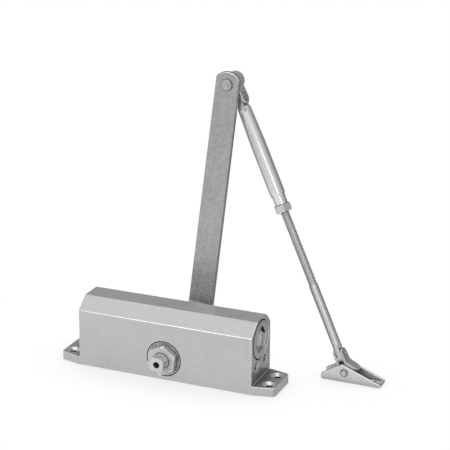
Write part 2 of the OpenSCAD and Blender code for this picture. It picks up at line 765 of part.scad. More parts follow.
module elbow_knuckle() color("gray") on_chain() difference() {
    union() {
        bar_y(knuckle_r, knuckle_near, knuckle_far);
        translate([-cheek_span / 2, knuckle_y - cheek_w / 2, -knuckle_reach])
            cube([cheek_span, cheek_w, knuckle_reach]);
        translate([0, knuckle_y, -knuckle_reach]) bar_x(cheek_w / 2, -cheek_span / 2, cheek_span / 2);
    }
    translate([0, knuckle_y, -knuckle_reach]) {
        bar_x(tongue_room_r, -cheek_in, cheek_in);
        translate([-cheek_in, -cheek_w, -cheek_w]) cube([2 * cheek_in, 2 * cheek_w, cheek_w + tongue_room_up]);
        bar_x(cross_pin_r + run_gap, -cheek_span, cheek_span);
    }
    bar_y(elbow_pin_d / 2 + run_gap, knuckle_near - over, knuckle_far + over);
    bar_y(pin_tail_r + seat_gap, knuckle_far - pin_tail_room, knuckle_far + over);
}

module cross_pin() color("lightgray") on_chain() translate([0, knuckle_y, -knuckle_reach]) {
    bar_x(cross_pin_r, -cheek_span / 2, cheek_span / 2 + sink);
    translate([cheek_span / 2, 0, 0]) rotate([0, 90, 0])
        cylinder(h = cross_head_t, r1 = cross_head_r, r2 = cross_head_r - cross_head_slope);
}

// Forearm tube: a flat tongue, a slightly tapered tube and a threaded neck
module forearm_tube() color("whitesmoke") on_forearm() difference() {
    union() {
        intersection() {
            translate([-tongue_t / 2, -tongue_r, over - tube_bore_start])
                cube([tongue_t, 2 * tongue_r, tube_bore_start]);
            union() {
                bar_x(tongue_r, -tongue_t, tongue_t);
                translate([-tongue_t, -tongue_r, -tube_bore_start])
                    cube([2 * tongue_t, 2 * tongue_r, tube_bore_start]);
            }
        }
        bar_x(tongue_r, -tongue_t / 2, tongue_t / 2);
        mirror([0, 0, 1]) rotate_extrude() polygon([
            [0, tube_start], [tube_start_d / 2 - tube_round, tube_start],
            [tube_start_d / 2, tube_start + tube_round], [tube_d / 2, tube_full], [tube_d / 2, tube_end],
            [neck_d / 2, neck_start], [neck_d / 2, tube_len], [0, tube_len]
        ]);
    }
    mirror([0, 0, 1]) rotate_extrude() polygon([
        [0, tube_bore_start], [tube_bore_r, tube_bore_start + over], [tube_bore_r, neck_start - 3 * over],
        [neck_bore_r, neck_start - 2 * over], [neck_bore_r, tube_len + over], [0, tube_len + over]
    ]);
    bar_x(cross_pin_r + run_gap, -tongue_t, tongue_t);
}

module lock_nut() color("lightgray") on_forearm() mirror([0, 0, 1]) difference() {
    intersection() {
        translate([0, 0, nut_start]) cylinder(h = nut_h, r = nut_r, $fn = 6);
        rotate_extrude() polygon([
            [0, nut_start], [nut_r - nut_chamfer, nut_start], [nut_r, nut_start + nut_chamfer / 2],
            [nut_r, nut_start + nut_h - nut_chamfer / 2], [nut_r - nut_chamfer, nut_start + nut_h],
            [0, nut_start + nut_h]
        ]);
    }
    translate([0, 0, nut_start - over]) cylinder(h = nut_h + 2 * over, r = neck_bore_r);
}

// Rod: threaded, then smooth, with a flattened eye
module threaded_rod() color("lightgray") on_forearm() difference() {
    union() {
        mirror([0, 0, 1]) translate([0, 0, rod_start]) cylinder(h = thread_len, d = thread_d);
        mirror([0, 0, 1]) translate([0, 0, thread_end]) cylinder(h = rod_round_end - thread_end, d = rod_d);
        intersection() {
            translate([-eye_t / 2, -eye_r, -eye_end]) cube([eye_t, eye_w, eye_end - rod_round_end + eye_flare]);
            mirror([0, 0, 1]) rotate_extrude() polygon([
                [0, rod_round_end - eye_flare], [rod_d / 2, rod_round_end - eye_flare], [eye_r, rod_round_end],
                [eye_r, eye_end], [0, eye_end]
            ]);
        }
        translate([0, 0, -eye_end]) bar_x(eye_r, -eye_t / 2, eye_t / 2);
    }
    translate([0, 0, -rod_reach]) bar_x(eye_pin_d / 2 + run_gap, -eye_t, eye_t);
}

// Swivel block: two ears for the rod's eye, a hub on the rivet and a curved toe
module toe_outline() {
    inner_run = (ear_in - ear_out + toe_t * toe_across.x) / toe_along.x;
    inner = toe_bend - toe_t * toe_across + inner_run * toe_along;
    polygon(rounded(
        [[ear_out, -eye_r], toe_bend, toe_tip, toe_tip - toe_t * toe_across, inner, [ear_in, -eye_r]],
        [0, toe_bend_r, 0, 0, 0, 0]
    ));
}

module swivel_block() color("gray") on_block() difference() {
    union() {
        intersection() {
            union() for (s = [0, 1]) mirror([s, 0, 0]) translate([ear_in, -block_r, -block_reach])
                cube([ear_t, block_w, block_reach + block_r]);
            union() {
                bar_x(block_r, -2 * ear_out, 2 * ear_out);
                translate([-2 * ear_out, -block_r, -block_reach]) cube([4 * ear_out, block_w, block_reach]);
            }
        }
        translate([-ear_out, -block_r, -block_reach]) cube([2 * ear_out, block_w, block_reach - web_top]);
        bar_y(block_hub_r, -block_r, block_r, 0, -block_reach);
        slab_y(-block_r, block_r) toe_outline();
        translate([toe_tip.x, 0, toe_tip.y]) rotate([0, 180 + toe_lean, 0]) cylinder(h = toe_t, r = block_r);
    }
    bar_x(eye_pin_d / 2 + run_gap, -2 * ear_out, 2 * ear_out);
    bar_y(rivet_r + run_gap, -block_w, block_w, 0, -block_reach);
}

module eye_pin() color("lightgray") on_block() bar_x(eye_pin_d / 2, -ear_out, ear_out);

// Shoe: a channel with peaked sides
module shoe_side() {
    left = -rivet_in;
    right = shoe_len - rivet_in;
    polygon(rounded([
        [left, -rivet_z], [left, shoe_short_h - rivet_z], [shoe_peak_x, shoe_h - rivet_z],
        [right, shoe_long_h - rivet_z], [right, -rivet_z]
    ], shoe_corners));
}

module shoe_bracket() color("silver") on_shoe() difference() {
    slab_y(-shoe_w / 2, shoe_w / 2) shoe_side();
    translate([-rivet_in - over, shoe_t - shoe_w / 2, shoe_t - rivet_z])
        cube([shoe_len + 2 * over, shoe_w - 2 * shoe_t, shoe_h]);
    bar_y(rivet_r + run_gap, -shoe_w, shoe_w);
    for (x = shoe_hole_x) translate([x, 0, -rivet_z - over]) cylinder(h = shoe_t + 2 * over, d = shoe_hole_d);
}

module shoe_rivet() color("lightgray") on_shoe() {
    bar_y(rivet_r, -shoe_w / 2, shoe_w / 2);
    for (s = [0, 1]) mirror([0, s, 0]) translate([0, shoe_w / 2, 0]) rotate([-90, 0, 0])
        cylinder(h = rivet_head_t, r1 = rivet_head_r, r2 = rivet_head_r - rivet_head_slope);
}

body_casting();
end_plug_right();
end_plug_left();
plug_seal_right();
plug_seal_left();
piston();
closing_spring();
check_ball();
check_retainer();
pinion();
bearing_front();
bearing_back();
shaft_seal_front();
shaft_seal_back();
bearing_cap_front();
bearing_cap_back();
closing_speed_valve();
latching_speed_valve();
main_arm();
arm_washer();
arm_screw();
elbow_pin();
elbow_washer();
elbow_knuckle();
cross_pin();
forearm_tube();
lock_nut();
threaded_rod();
swivel_block();
eye_pin();
shoe_bracket();
shoe_rivet();
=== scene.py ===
"""A surface-mounted door closer: finished pieces round the CAD frame, materials, floor, light."""
import json
import math

import bmesh
import bpy
from mathutils import Matrix, Vector


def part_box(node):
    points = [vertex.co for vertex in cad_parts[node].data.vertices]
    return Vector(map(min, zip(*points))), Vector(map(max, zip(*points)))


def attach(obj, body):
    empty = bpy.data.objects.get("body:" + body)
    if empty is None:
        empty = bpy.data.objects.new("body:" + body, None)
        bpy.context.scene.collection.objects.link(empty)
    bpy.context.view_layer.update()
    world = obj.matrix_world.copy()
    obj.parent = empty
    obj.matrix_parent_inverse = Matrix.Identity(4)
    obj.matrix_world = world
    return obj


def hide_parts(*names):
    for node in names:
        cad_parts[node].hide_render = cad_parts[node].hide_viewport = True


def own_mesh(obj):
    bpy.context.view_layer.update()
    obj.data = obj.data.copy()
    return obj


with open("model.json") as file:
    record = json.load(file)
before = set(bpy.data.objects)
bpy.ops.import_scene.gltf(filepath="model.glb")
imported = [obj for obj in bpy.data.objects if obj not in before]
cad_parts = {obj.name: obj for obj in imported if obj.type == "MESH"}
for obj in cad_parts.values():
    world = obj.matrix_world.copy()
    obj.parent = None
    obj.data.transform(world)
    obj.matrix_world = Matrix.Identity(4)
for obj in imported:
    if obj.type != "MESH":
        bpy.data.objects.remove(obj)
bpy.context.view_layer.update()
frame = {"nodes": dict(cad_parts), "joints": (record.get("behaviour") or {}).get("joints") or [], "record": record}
NODES = frame["nodes"]
MM = 0.001


# Camera, floor and light ------------------------------------------------------------------------

LENS, SENSOR = 130.195, 36.0                   # mm
CLIP = (0.05, 50.0)                            # m
CAMERA_PLACE = (0.531135, -1.153434, 0.562038)
CAMERA_TURN = (71.2336, -0.3645, 22.9309)      # degrees
WHITE = (1, 1, 1, 1)
BLACK = (0, 0, 0, 1)

# The room that shiny surfaces mirror: it brightens towards one side, with a pale panel overhead.
BRIGHT_SIDE = (0.47, -0.88, 0.0)
BRIGHT_FROM, BRIGHT_TO = -0.15, 1.0
OVERHEAD = (0.03, -0.25, 0.97)
PANEL_FROM, PANEL_TO = 0.70, 0.88

# The floor that shiny surfaces mirror: brighter in front, fading out far in front and to the left.
FRONT = (0.17, -0.98, 0.0)
LEFT_TO_RIGHT = (1, 0, 0)
FRONT_FROM, FRONT_TO = -0.07, 0.07             # m
FADES = ((LEFT_TO_RIGHT, -0.40, -0.20), (FRONT, -0.38, -0.18))    # side, faded at, full at (m)
FADED = 0.30
FLOOR_HALF_SIZE = 6.0                          # m
FLOOR_Z = -0.4 * MM                            # just under the mounting faces
SHADOW_REACH = 45 * MM
SHADOW_FULL_AT = 0.45                          # how open the floor is where the shadow is full


def place_camera():
    data = bpy.data.cameras.new("camera")
    data.lens = LENS
    data.sensor_width = SENSOR
    data.clip_start, data.clip_end = CLIP
    camera = bpy.data.objects.new("camera", data)
    camera.location = CAMERA_PLACE
    camera.rotation_euler = [math.radians(a) for a in CAMERA_TURN]
    bpy.context.scene.collection.objects.link(camera)
    bpy.context.scene.camera = camera


def add_node(tree, kind, inputs=(), **settings):
    """A shader node with its settings, and its inputs set to values or linked to other sockets."""
    node = tree.nodes.new(kind)
    for key, value in settings.items():
        setattr(node, key, value)
    for key, value in dict(inputs).items():
        if isinstance(value, bpy.types.NodeSocket):
            tree.links.new(value, node.inputs[key])
        else:
            node.inputs[key].default_value = value
    return node


def span(tree, value, low, high, to_low, to_high):
    """Turns the range low..high of a value into to_low..to_high, and holds it there outside."""
    return add_node(tree, "ShaderNodeMapRange", {
        "Value": value, "From Min": low, "From Max": high,
        "To Min": to_low, "To Max": to_high}).outputs["Result"]


def math_node(tree, operation, a, b):
    return add_node(tree, "ShaderNodeMath", {0: a, 1: b}, operation=operation).outputs[0]


def mix_shaders(tree, factor, first, second):
    return add_node(tree, "ShaderNodeMixShader", {"Fac": factor, 1: first, 2: second}).outputs[0]


def seen_by(tree, kinds):
    """1 for rays of the named kinds, 0 for all others."""
    path = add_node(tree, "ShaderNodeLightPath")
    total = path.outputs[kinds[0]]
    for kind in kinds[1:]:
        total = math_node(tree, "MAXIMUM", total, path.outputs[kind])
    return total


def towards(tree, place, side):
    """How far a place or direction lies towards a side."""
    product = add_node(tree, "ShaderNodeVectorMath", {0: place, 1: side}, operation="DOT_PRODUCT")
    return product.outputs["Value"]


def light_world(fill, mirrored, panel, backdrop):
    """An even room as a light, a graded room as a reflection, a pale backdrop for the camera."""
    world = bpy.data.worlds.new("studio")
    world.use_nodes = True
    bpy.context.scene.world = world
    tree = world.node_tree
    tree.nodes.clear()
    view = add_node(tree, "ShaderNodeTexCoord").outputs["Generated"]
    level = span(tree, towards(tree, view, BRIGHT_SIDE), BRIGHT_FROM, BRIGHT_TO, *mirrored)
    overhead = span(tree, towards(tree, view, OVERHEAD), PANEL_FROM, PANEL_TO, 0.0, panel)
    level = math_node(tree, "ADD", level, overhead)
    even, shine, seen = [
        add_node(tree, "ShaderNodeBackground", {"Color": WHITE, "Strength": strength}).outputs[0]
        for strength in (fill, level, backdrop)]
    unseen = mix_shaders(tree, seen_by(tree, ["Is Glossy Ray", "Is Transmission Ray"]), even, shine)
    shown = mix_shaders(tree, seen_by(tree, ["Is Camera Ray"]), unseen, seen)
    add_node(tree, "ShaderNodeOutputWorld", {"Surface": shown})


def lay_floor(matt, shadow, mirrored):
    """A pale floor that lights and mirrors in the object.

    The camera sees only the backdrop and the contact shadow on it, so that an arm that swings
    below the floor still shows.
    """
    bm = bmesh.new()
    bmesh.ops.create_grid(bm, x_segments=1, y_segments=1, size=FLOOR_HALF_SIZE)
    bmesh.ops.translate(bm, verts=bm.verts, vec=(0, 0, FLOOR_Z))
    mesh = bpy.data.meshes.new("floor")
    bm.to_mesh(mesh)
    bm.free()
    floor = bpy.data.objects.new("floor", mesh)
    bpy.context.scene.collection.objects.link(floor)
    material = bpy.data.materials.new("pale_floor")
    material.use_nodes = True
    tree = material.node_tree
    tree.nodes.clear()
    place = add_node(tree, "ShaderNodeTexCoord").outputs["Object"]
    level = span(tree, towards(tree, place, FRONT), FRONT_FROM, FRONT_TO, *mirrored)
    for side, faded_at, full_at in FADES:
        fade = span(tree, towards(tree, place, side), faded_at, full_at, FADED, 1.0)
        level = math_node(tree, "MULTIPLY", level, fade)
    plain = add_node(tree, "ShaderNodeBsdfDiffuse", {"Color": (matt, matt, matt, 1)}).outputs[0]
    shine = add_node(tree, "ShaderNodeEmission", {"Color": WHITE, "Strength": level}).outputs[0]
    dark = add_node(tree, "ShaderNodeEmission", {"Color": BLACK, "Strength": 0.0}).outputs[0]
    clear = add_node(tree, "ShaderNodeBsdfTransparent", {"Color": WHITE}).outputs[0]
    glow = mix_shaders(tree, seen_by(tree, ["Is Glossy Ray", "Is Transmission Ray"]), dark, shine)
    solid = add_node(tree, "ShaderNodeAddShader", {0: plain, 1: glow}).outputs[0]
    openness = add_node(tree, "ShaderNodeAmbientOcclusion", {"Distance": SHADOW_REACH},
                        samples=16).outputs["AO"]
    shaded = mix_shaders(tree, span(tree, openness, SHADOW_FULL_AT, 1.0, shadow, 0.0), clear, dark)
    above = mix_shaders(tree, seen_by(tree, ["Is Camera Ray"]), solid, shaded)
    underside = add_node(tree, "ShaderNodeNewGeometry").outputs["Backfacing"]
    both = mix_shaders(tree, underside, above, clear)
    add_node(tree, "ShaderNodeOutputMaterial", {"Surface": both})
    mesh.materials.append(material)


def softbox(name, place, aim, width, height, watts, mirrored=True):
    """A flat lamp at a place, facing its aim, in metres. Shiny surfaces may mirror it."""
    data = bpy.data.lights.new(name, "AREA")
    data.shape = "RECTANGLE"
    data.size, data.size_y, data.energy = width, height, watts
    lamp = bpy.data.objects.new(name, data)
    lamp.location = place
    lamp.rotation_euler = (Vector(aim) - Vector(place)).to_track_quat("-Z", "Y").to_euler()
    lamp.visible_glossy = mirrored
    bpy.context.scene.collection.objects.link(lamp)


bpy.context.scene.view_settings.view_transform = "Standard"
place_camera()
light_world(fill=0.33, mirrored=(0.29, 0.92), panel=0.85, backdrop=1.0)
lay_floor(matt=0.34, shadow=0.14, mirrored=(0.25, 0.78))
softbox("key_light", (-0.60, -1.65, 0.70), (0.0, 0.0, 0.10), 1.2, 0.9, 19.5, mirrored=False)
softbox("crease_light", (-0.66, -1.55, 0.62), (0.0, 0.0, 0.05), 0.25, 0.60, 1.1)
softbox("strip_light", (1.04, -1.45, 0.50), (0.05, 0.05, 0.12), 0.30, 0.60, 1.3)
softbox("top_light", (-0.45, -0.15, 1.50), (0.0, 0.0, 0.05), 0.9, 0.9, 2.6, mirrored=False)
softbox("back_light", (0.30, 1.80, 0.45), (0.0, 0.0, 0.10), 1.2, 0.8, 9.0, mirrored=False)


# Surface patterns, shared by the materials ------------------------------------------------------

NOISE_MIDDLE = 0.5
NOISE_RANGE = (0.3, 0.7)         # where most of a noise's values lie
PATCH_RANGE = (0.4, 0.6)
EDGE_NONE, EDGE_FULL = 1.0, 0.85             # cosine between the rounded and the real normal
SHADE_FULL, SHADE_NONE = 0.30, 0.90            # how open a place is, for the painted shade in gaps and corners
FLAKE_DEPTH, SHADED_FLAKE_DEPTH = 4.0, 5.6         # how strongly flakes show, above and in the zone of painted shade
CLOUD_SHARE = 0.45               # how strongly the clouds show beside the flakes
SLOW_SHADES = (0.98, 1.02)
FLAKE_ROUGHNESS = (-0.04, 0.04)
ZONE_BLEND = 3 * MM              # half the height over which one zone turns into the other
GRAIN_DEPTH = 4.0
STAIN_SHADES = (0.95, 1.04)
STAIN_ROUGHNESS = (-0.05, 0.05)


def new_group(name, inputs, outputs):
    group = bpy.data.node_groups.new(name, "ShaderNodeTree")
    for label, kind, value in inputs:
        socket = group.interface.new_socket(name=label, in_out="INPUT", socket_type=kind)
        socket.default_value = value
    for label, kind in outputs:
        group.interface.new_socket(name=label, in_out="OUTPUT", socket_type=kind)
    given = group.nodes.new("NodeGroupInput").outputs
    out = group.nodes.new("NodeGroupOutput").inputs
    return group, given, out


def noise(tree, place, scale, detail, roughness):
    return add_node(tree, "ShaderNodeTexNoise", {
        "Vector": place, "Scale": scale, "Detail": detail, "Roughness": roughness}).outputs["Fac"]


def around_zero(tree, value):
    return math_node(tree, "SUBTRACT", value, NOISE_MIDDLE)


def scaled(tree, vector, factor):
    """A colour or vector times a number."""
    return add_node(tree, "ShaderNodeVectorMath", {0: vector, "Scale": factor},
                    operation="SCALE").outputs["Vector"]


PATTERN_OUTPUTS = (("Color", "NodeSocketColor"), ("Roughness", "NodeSocketFloat"),
                   ("Height", "NodeSocketFloat"))


def make_edge_wear_and_sheen():
    """A mask that is 1 along edges, for wear where hands and other parts rub and for a painted sheen, broken up by
    noise.
    """
    group, given, out = new_group("edge_wear_and_sheen", [
        ("Width", "NodeSocketFloat", 0.0006), ("Patchiness", "NodeSocketFloat", 0.4),
    ], [("Mask", "NodeSocketFloat")])
    rounded = add_node(group, "ShaderNodeBevel", {"Radius": given["Width"]},
                       samples=4).outputs["Normal"]
    straight = add_node(group, "ShaderNodeNewGeometry").outputs["Normal"]
    edge = span(group, towards(group, rounded, straight), EDGE_NONE, EDGE_FULL, 0.0, 1.0)
    place = add_node(group, "ShaderNodeTexCoord").outputs["Object"]
    patches = noise(group, place, scale=160.0, detail=2.0, roughness=0.5)
    patches = span(group, patches, *PATCH_RANGE, 1.0, 0.0)
    missing = math_node(group, "MULTIPLY", patches, given["Patchiness"])
    wear_and_sheen = math_node(group, "SUBTRACT", 1.0, missing)
    group.links.new(math_node(group, "MULTIPLY", edge, wear_and_sheen), out["Mask"])
    return group


def make_crevice_shade(name, own_shape_only):
    """A mask of painted shade: 1 deep in gaps and corners, where they are closed in, and 0 in the open."""
    group, given, out = new_group(name, [("Reach", "NodeSocketFloat", 0.002)],
                                  [("Mask", "NodeSocketFloat")])
    openness = add_node(group, "ShaderNodeAmbientOcclusion", {"Distance": given["Reach"]},
                        samples=8, only_local=own_shape_only).outputs["AO"]
    group.links.new(span(group, openness, SHADE_FULL, SHADE_NONE, 1.0, 0.0), out["Mask"])
    return group


def make_flake_paint():
    """Silver paint: flakes, slow changes of tone, and below a height a zone of painted shade in which the flakes
    show more strongly.
    """
    group, given, out = new_group("flake_paint", [
        ("Color", "NodeSocketColor", (0.5, 0.5, 0.5, 1)),
        ("Flake Scale", "NodeSocketFloat", 1400.0), ("Flake Contrast", "NodeSocketFloat", 0.1),
        ("Roughness", "NodeSocketFloat", 0.35),
        ("Zone Height", "NodeSocketFloat", -1.0), ("Zone Shade", "NodeSocketFloat", 1.0),
    ], PATTERN_OUTPUTS)
    place = add_node(group, "ShaderNodeTexCoord").outputs["Object"]
    flakes = noise(group, place, given["Flake Scale"], detail=3.0, roughness=0.65)
    clouds = noise(group, place, scale=260.0, detail=3.0, roughness=0.6)
    tone = noise(group, place, scale=28.0, detail=2.0, roughness=0.5)
    # painted shade: below the zone's height the colour darkens and the flakes show more strongly
    height = add_node(group, "ShaderNodeSeparateXYZ", {0: place}).outputs["Z"]
    over_zone = math_node(group, "SUBTRACT", height, given["Zone Height"])
    above = span(group, over_zone, -ZONE_BLEND, ZONE_BLEND, 0.0, 1.0)
    below = math_node(group, "SUBTRACT", 1.0, above)
    depth = span(group, below, 0.0, 1.0, FLAKE_DEPTH, SHADED_FLAKE_DEPTH)
    contrast = math_node(group, "MULTIPLY", given["Flake Contrast"], depth)
    cloud_contrast = math_node(group, "MULTIPLY", contrast, CLOUD_SHARE)
    flake_shade = math_node(group, "MULTIPLY", around_zero(group, flakes), contrast)
    cloud_shade = math_node(group, "MULTIPLY", around_zero(group, clouds), cloud_contrast)
    shade = math_node(group, "ADD", flake_shade, cloud_shade)
    shade = math_node(group, "ADD", shade, span(group, tone, *NOISE_RANGE, *SLOW_SHADES))
    lighter = math_node(group, "SUBTRACT", 1.0, given["Zone Shade"])
    lighter = math_node(group, "MULTIPLY", above, lighter)
    zone = math_node(group, "ADD", given["Zone Shade"], lighter)
    tinted = scaled(group, given["Color"], math_node(group, "MULTIPLY", shade, zone))
    group.links.new(tinted, out["Color"])
    uneven = span(group, flakes, *NOISE_RANGE, *FLAKE_ROUGHNESS)
    rough = math_node(group, "ADD", given["Roughness"], uneven)
    group.links.new(rough, out["Roughness"])
    group.links.new(flakes, out["Height"])
    return group


def make_plated_steel():
    """Plated steel: drawn grain along one axis, small stains and scuffed roughness."""
    group, given, out = new_group("plated_steel", [
        ("Color", "NodeSocketColor", (0.6, 0.6, 0.6, 1)),
        ("Grain Scale", "NodeSocketVector", (300.0, 300.0, 300.0)),
        ("Grain Contrast", "NodeSocketFloat", 0.1), ("Roughness", "NodeSocketFloat", 0.3),
    ], PATTERN_OUTPUTS)
    place = add_node(group, "ShaderNodeTexCoord").outputs["Object"]
    stretched = add_node(group, "ShaderNodeVectorMath", {0: place, 1: given["Grain Scale"]},
                         operation="MULTIPLY").outputs["Vector"]
    grain = noise(group, stretched, scale=1.0, detail=3.0, roughness=0.6)
    stains = noise(group, place, scale=120.0, detail=3.0, roughness=0.6)
    shade = math_node(group, "MULTIPLY", around_zero(group, grain), given["Grain Contrast"])
    shade = math_node(group, "MULTIPLY", shade, GRAIN_DEPTH)
    factor = math_node(group, "ADD", shade, span(group, stains, *NOISE_RANGE, *STAIN_SHADES))
    group.links.new(scaled(group, given["Color"], factor), out["Color"])
    uneven = span(group, stains, *NOISE_RANGE, *STAIN_ROUGHNESS)
    rough = math_node(group, "ADD", given["Roughness"], uneven)
    group.links.new(rough, out["Roughness"])
    group.links.new(grain, out["Height"])
    return group


EDGE_WEAR_AND_SHEEN = make_edge_wear_and_sheen()
GAP_SHADE = make_crevice_shade("gap_shade", own_shape_only=False)
CORNER_SHADE = make_crevice_shade("corner_shade", own_shape_only=True)
FLAKE_PAINT = make_flake_paint()
PLATED_STEEL = make_plated_steel()


def surface(name, pattern_group, values, metallic, bump, depth, edge_width, edge_shine, painted_shade):
    """A finish: a shared pattern for colour, roughness and relief, with worn edges that carry a painted sheen, and
    painted shade in gaps and corners.

    Each row of painted_shade is a mask of painted shade, its reach in mm and its strength.
    """
    material = bpy.data.materials.new(name)
    material.use_nodes = True
    tree = material.node_tree
    tree.nodes.clear()
    pattern = add_node(tree, "ShaderNodeGroup", node_tree=pattern_group)
    for key, value in values.items():
        pattern.inputs[key].default_value = value
    wear_and_sheen_node = add_node(tree, "ShaderNodeGroup", node_tree=EDGE_WEAR_AND_SHEEN)
    wear_and_sheen_node.inputs["Width"].default_value = edge_width
    # edges lighter: wear, and a painted sheen
    wear_and_sheen = math_node(tree, "MULTIPLY", wear_and_sheen_node.outputs["Mask"], edge_shine)
    bright = math_node(tree, "ADD", 1.0, wear_and_sheen)
    # painted shade: the colour darkens in gaps and corners by how closed in they are
    for kind, reach, strength in painted_shade:
        crevice = add_node(tree, "ShaderNodeGroup", node_tree=kind)
        crevice.inputs["Reach"].default_value = reach * MM
        hidden = math_node(tree, "MULTIPLY", crevice.outputs["Mask"], strength)
        bright = math_node(tree, "MULTIPLY", bright, math_node(tree, "SUBTRACT", 1.0, hidden))
    colour = scaled(tree, pattern.outputs["Color"], bright)
    relief = add_node(tree, "ShaderNodeBump", {
        "Strength": bump, "Distance": depth, "Height": pattern.outputs["Height"]})
    shader = add_node(tree, "ShaderNodeBsdfPrincipled", {
        "Base Color": colour, "Roughness": pattern.outputs["Roughness"],
        "Metallic": metallic, "Normal": relief.outputs["Normal"]})
    add_node(tree, "ShaderNodeOutputMaterial", {"Surface": shader.outputs[0]})
    return material


# painted shade in narrow gaps, the default for most finishes
GAP_SHADED = ((GAP_SHADE, 1.6, 0.85),)
PAINT_DEPTH, STEEL_DEPTH = 0.06 * MM, 0.05 * MM      # of the relief
STEEL_EDGE = 0.3 * MM                                # width of the worn edges and their painted sheen


def paint(name, tone, flake, contrast, roughness, metallic, bump, edge_width, edge_shine,
          painted_shade=GAP_SHADED, **zone):
    """A paint: its grey, its flakes, and the width (mm) and brightness of its worn edges, which carry a painted
    sheen.

    A zone has a height (m) and the painted shade below it.
    """
    values = {"Color": (tone, tone, tone, 1), "Flake Scale": flake,
              "Flake Contrast": contrast, "Roughness": roughness}
    values.update({"Zone " + key.capitalize(): value for key, value in zone.items()})
    return surface(name, FLAKE_PAINT, values, metallic, bump, PAINT_DEPTH, edge_width * MM,
                   edge_shine, painted_shade)


def steel(name, tone, grain, contrast, roughness, metallic=0.9, bump=0.1, edge_shine=0.1,
          painted_shade=GAP_SHADED):
    """An unpainted or plated metal: its grey or colour, and the scale of its grain along x, y and z."""
    colour = (*tone, 1) if isinstance(tone, tuple) else (tone, tone, tone, 1)
    values = {"Color": colour, "Grain Scale": grain, "Grain Contrast": contrast,
              "Roughness": roughness}
    return surface(name, PLATED_STEEL, values, metallic, bump, STEEL_DEPTH, STEEL_EDGE,
                   edge_shine, painted_shade)


def even_grain(scale):
    return (scale, scale, scale)


# The numbers of a paint: tone, flake, contrast, roughness, metallic, bump, edge width, edge shine.
# The numbers of a steel: tone, grain, contrast, roughness.
MATERIALS = {
    # the body also gets painted shade up to 60 mm out from its corners, as on the foot tops
    "cast_body": paint("silver_body_paint", 0.56, 1300.0, 0.09, 0.22, 0.35, 0.05, 0.6, 0.3,
                       ((GAP_SHADE, 1.6, 0.85), (CORNER_SHADE, 60.0, 1.0))),
    "plug_paint": paint("silver_plug_paint", 0.56, 1500.0, 0.10, 0.24, 0.45, 0.08, 0.6, 0.4,
                        ((GAP_SHADE, 0.8, 0.7),)),
    "cap_paint": paint("silver_cap_paint", 0.57, 1500.0, 0.09, 0.26, 0.45, 0.08, 0.5, 0.4),
    # painted shade: the arm is darker, with stronger flakes, below 83 mm
    "arm_paint": paint("flaked_arm_paint", 0.405, 620.0, 0.26, 0.32, 0.35, 0.25, 0.5, 0.3,
                       height=0.083, shade=0.90),
    "tube_paint": paint("smooth_tube_enamel", 0.76, 2200.0, 0.04, 0.20, 0.85, 0.04, 0.4, 0.1),
    "rod_steel": steel("zinc_rod", 0.58, even_grain(700.0), 0.08, 0.30,
                       painted_shade=((GAP_SHADE, 0.9, 0.85),)),
    "zinc_steel": steel("zinc_plate", 0.62, even_grain(900.0), 0.08, 0.24),
    "bright_steel": steel("bright_valve_steel", 0.92, (900.0, 2500.0, 2500.0), 0.05, 0.2,
                          metallic=0.7, bump=0.05, painted_shade=()),
    "ball_steel": steel("ball_polish", 0.70, even_grain(600.0), 0.03, 0.10, metallic=1.0,
                        bump=0.02),
    "spring_steel": steel("oiled_spring_and_valve_shade", 0.25, even_grain(500.0), 0.12, 0.32),
    "piston_iron": steel("ground_iron", 0.35, (3000.0, 300.0, 300.0), 0.08, 0.35),
    "bronze": steel("sleeve_bronze", (0.60, 0.42, 0.22), (900.0, 300.0, 900.0), 0.08, 0.35),
    "rubber": paint("seal_rubber", 0.05, 2600.0, 0.1, 0.6, 0.0, 0.2, 0.3, 0.0),
}
# the shoe gets painted shade in its gaps and, further out, around them
SHOE_PAINT = paint("bright_shoe_paint", 0.76, 1000.0, 0.06, 0.26, 0.40, 0.06, 0.5, 0.3,
                   ((GAP_SHADE, 1.2, 0.9), (GAP_SHADE, 9.0, 0.7)))
KNUCKLE_PAINT = paint("knuckle_paint", 0.66, 1000.0, 0.10, 0.28, 0.40, 0.12, 0.5, 0.3)
BLOCK_PAINT = paint("block_paint", 0.50, 1000.0, 0.08, 0.28, 0.40, 0.10, 0.5, 0.3)
PIN_PAINT = paint("painted_pin", 0.46, 1000.0, 0.14, 0.26, 0.45, 0.12, 0.5, 0.3)
# bright metal for eased edges: wear, and a painted highlight where light catches them
RUBBED_EDGE_AND_SHEEN = steel("rubbed_edge_and_sheen", 0.88, even_grain(900.0), 0.06, 0.2, metallic=0.85, painted_shade=())
# machined metal for the screw seats, and painted light on the upright walls of the plug sockets
MACHINED_AND_LIT_WALL = steel("machined_seat_and_lit_wall", 0.80, (400.0, 400.0, 2400.0), 0.06, 0.27, metallic=0.55, painted_shade=())
# a near-white painted highlight, for the walls of the valve mouths
HIGHLIGHT_WALL = steel("painted_highlight_wall", 0.95, even_grain(900.0), 0.05, 0.25, metallic=0.2, painted_shade=())
# near-black painted shade, for deep holes, gap lines, recess floors and the shaded walls of sockets
SHADE_BLACK = steel("painted_shade_black", 0.05, even_grain(900.0), 0.1, 0.35)

# FINISHES has the pieces that don't take the finish of their slot, BARE the slots without paint.
FINISHES = {"shoe_bracket": SHOE_PAINT, "swivel_block": BLOCK_PAINT, "elbow_knuckle": KNUCKLE_PAINT,
            "elbow_washer": KNUCKLE_PAINT, "elbow_pin": PIN_PAINT}
BARE = {"rod_steel", "zinc_steel", "bright_steel", "ball_steel", "spring_steel", "piston_iron",
        "bronze", "rubber"}
SLOT_OF = {part["node"]: part["material_slot"] for part in frame["record"]["subparts"]}
BODY_OF = {node: body for body, nodes in frame["record"]["behaviour"]["bodies"].items()
           for node in nodes}
JOINTS = {joint["name"]: joint for joint in frame["joints"]}

